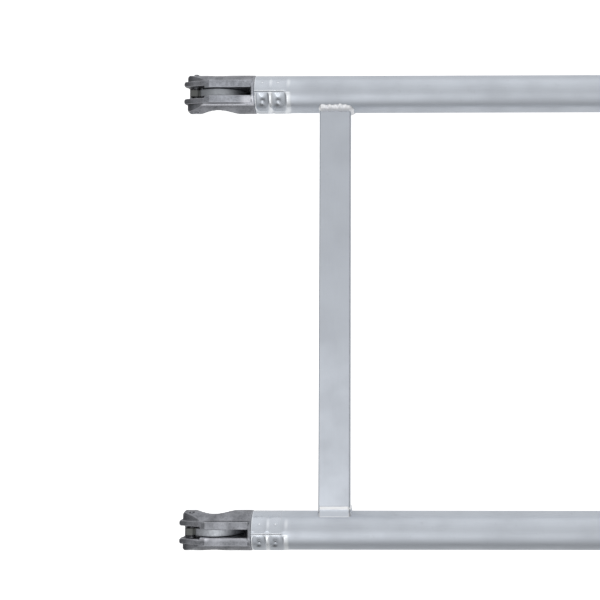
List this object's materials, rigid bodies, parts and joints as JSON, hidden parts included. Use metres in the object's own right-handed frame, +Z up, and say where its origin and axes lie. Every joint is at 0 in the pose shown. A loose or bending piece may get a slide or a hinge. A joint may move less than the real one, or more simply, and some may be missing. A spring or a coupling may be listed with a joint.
{
  "type": "scaffold horizontal brace",
  "caption": "Flat aluminium tower brace: parallel round rails joined by rectangular cross struts, with cast hook jaws and sprung latch pawls on the rail ends.",
  "frame": {"origin": "centre of the brace on the floor that its hook tips rest on", "axes": "+X along the rails, +Y from the lower rail to the upper rail of the picture, +Z up, away from the jaws' open side"},
  "size_m": [1.8796, 0.5448, 0.0622],
  "materials": {
    "rail_tube": "mill-finish drawn tube, satin",
    "strut_tube": "mill-finish extruded tube, satin",
    "weld_metal": "rippled weld bead",
    "casting": "tumbled gravity casting, matt and slightly grainy",
    "pawl_steel": "dull zinc-plated plate",
    "pin_steel": "drawn bar, peened ends",
    "spring_steel": "drawn wire"
  },
  "bodies": {
    "frame": {"rail_upper": "rail_tube", "rail_lower": "rail_tube", "strut_left": "strut_tube", "strut_right": "strut_tube", "hook_upper_left": "casting", "pawl_pin_upper_left": "pin_steel", "weld_upper_left": "weld_metal", "hook_upper_right": "casting", "pawl_pin_upper_right": "pin_steel", "weld_upper_right": "weld_metal", "hook_lower_left": "casting", "pawl_pin_lower_left": "pin_steel", "weld_lower_left": "weld_metal", "hook_lower_right": "casting", "pawl_pin_lower_right": "pin_steel", "weld_lower_right": "weld_metal"},
    "pawl_upper_left": {"pawl_upper_left": "pawl_steel", "pawl_spring_upper_left": "spring_steel"},
    "pawl_upper_right": {"pawl_upper_right": "pawl_steel", "pawl_spring_upper_right": "spring_steel"},
    "pawl_lower_left": {"pawl_lower_left": "pawl_steel", "pawl_spring_lower_left": "spring_steel"},
    "pawl_lower_right": {"pawl_lower_right": "pawl_steel", "pawl_spring_lower_right": "spring_steel"}
  },
  "joints": [
    {"name": "pawl_swing_upper_left", "type": "hinge", "parent": "frame", "child": "pawl_upper_left", "pos_m": [-0.9262, 0.25, 0.04507], "axis": [0, -1, 0], "range_deg": [0, 15], "stiffness_Nm_per_rad": 0.2, "springref_deg": -22.92},
    {"name": "pawl_swing_upper_right", "type": "hinge", "parent": "frame", "child": "pawl_upper_right", "pos_m": [0.9262, 0.25, 0.04507], "axis": [0, 1, 0], "range_deg": [0, 15], "stiffness_Nm_per_rad": 0.2, "springref_deg": -22.92},
    {"name": "pawl_swing_lower_left", "type": "hinge", "parent": "frame", "child": "pawl_lower_left", "pos_m": [-0.9262, -0.25, 0.04507], "axis": [0, -1, 0], "range_deg": [0, 15], "stiffness_Nm_per_rad": 0.2, "springref_deg": -22.92},
    {"name": "pawl_swing_lower_right", "type": "hinge", "parent": "frame", "child": "pawl_lower_right", "pos_m": [0.9262, -0.25, 0.04507], "axis": [0, 1, 0], "range_deg": [0, 15], "stiffness_Nm_per_rad": 0.2, "springref_deg": -22.92}
  ]
}
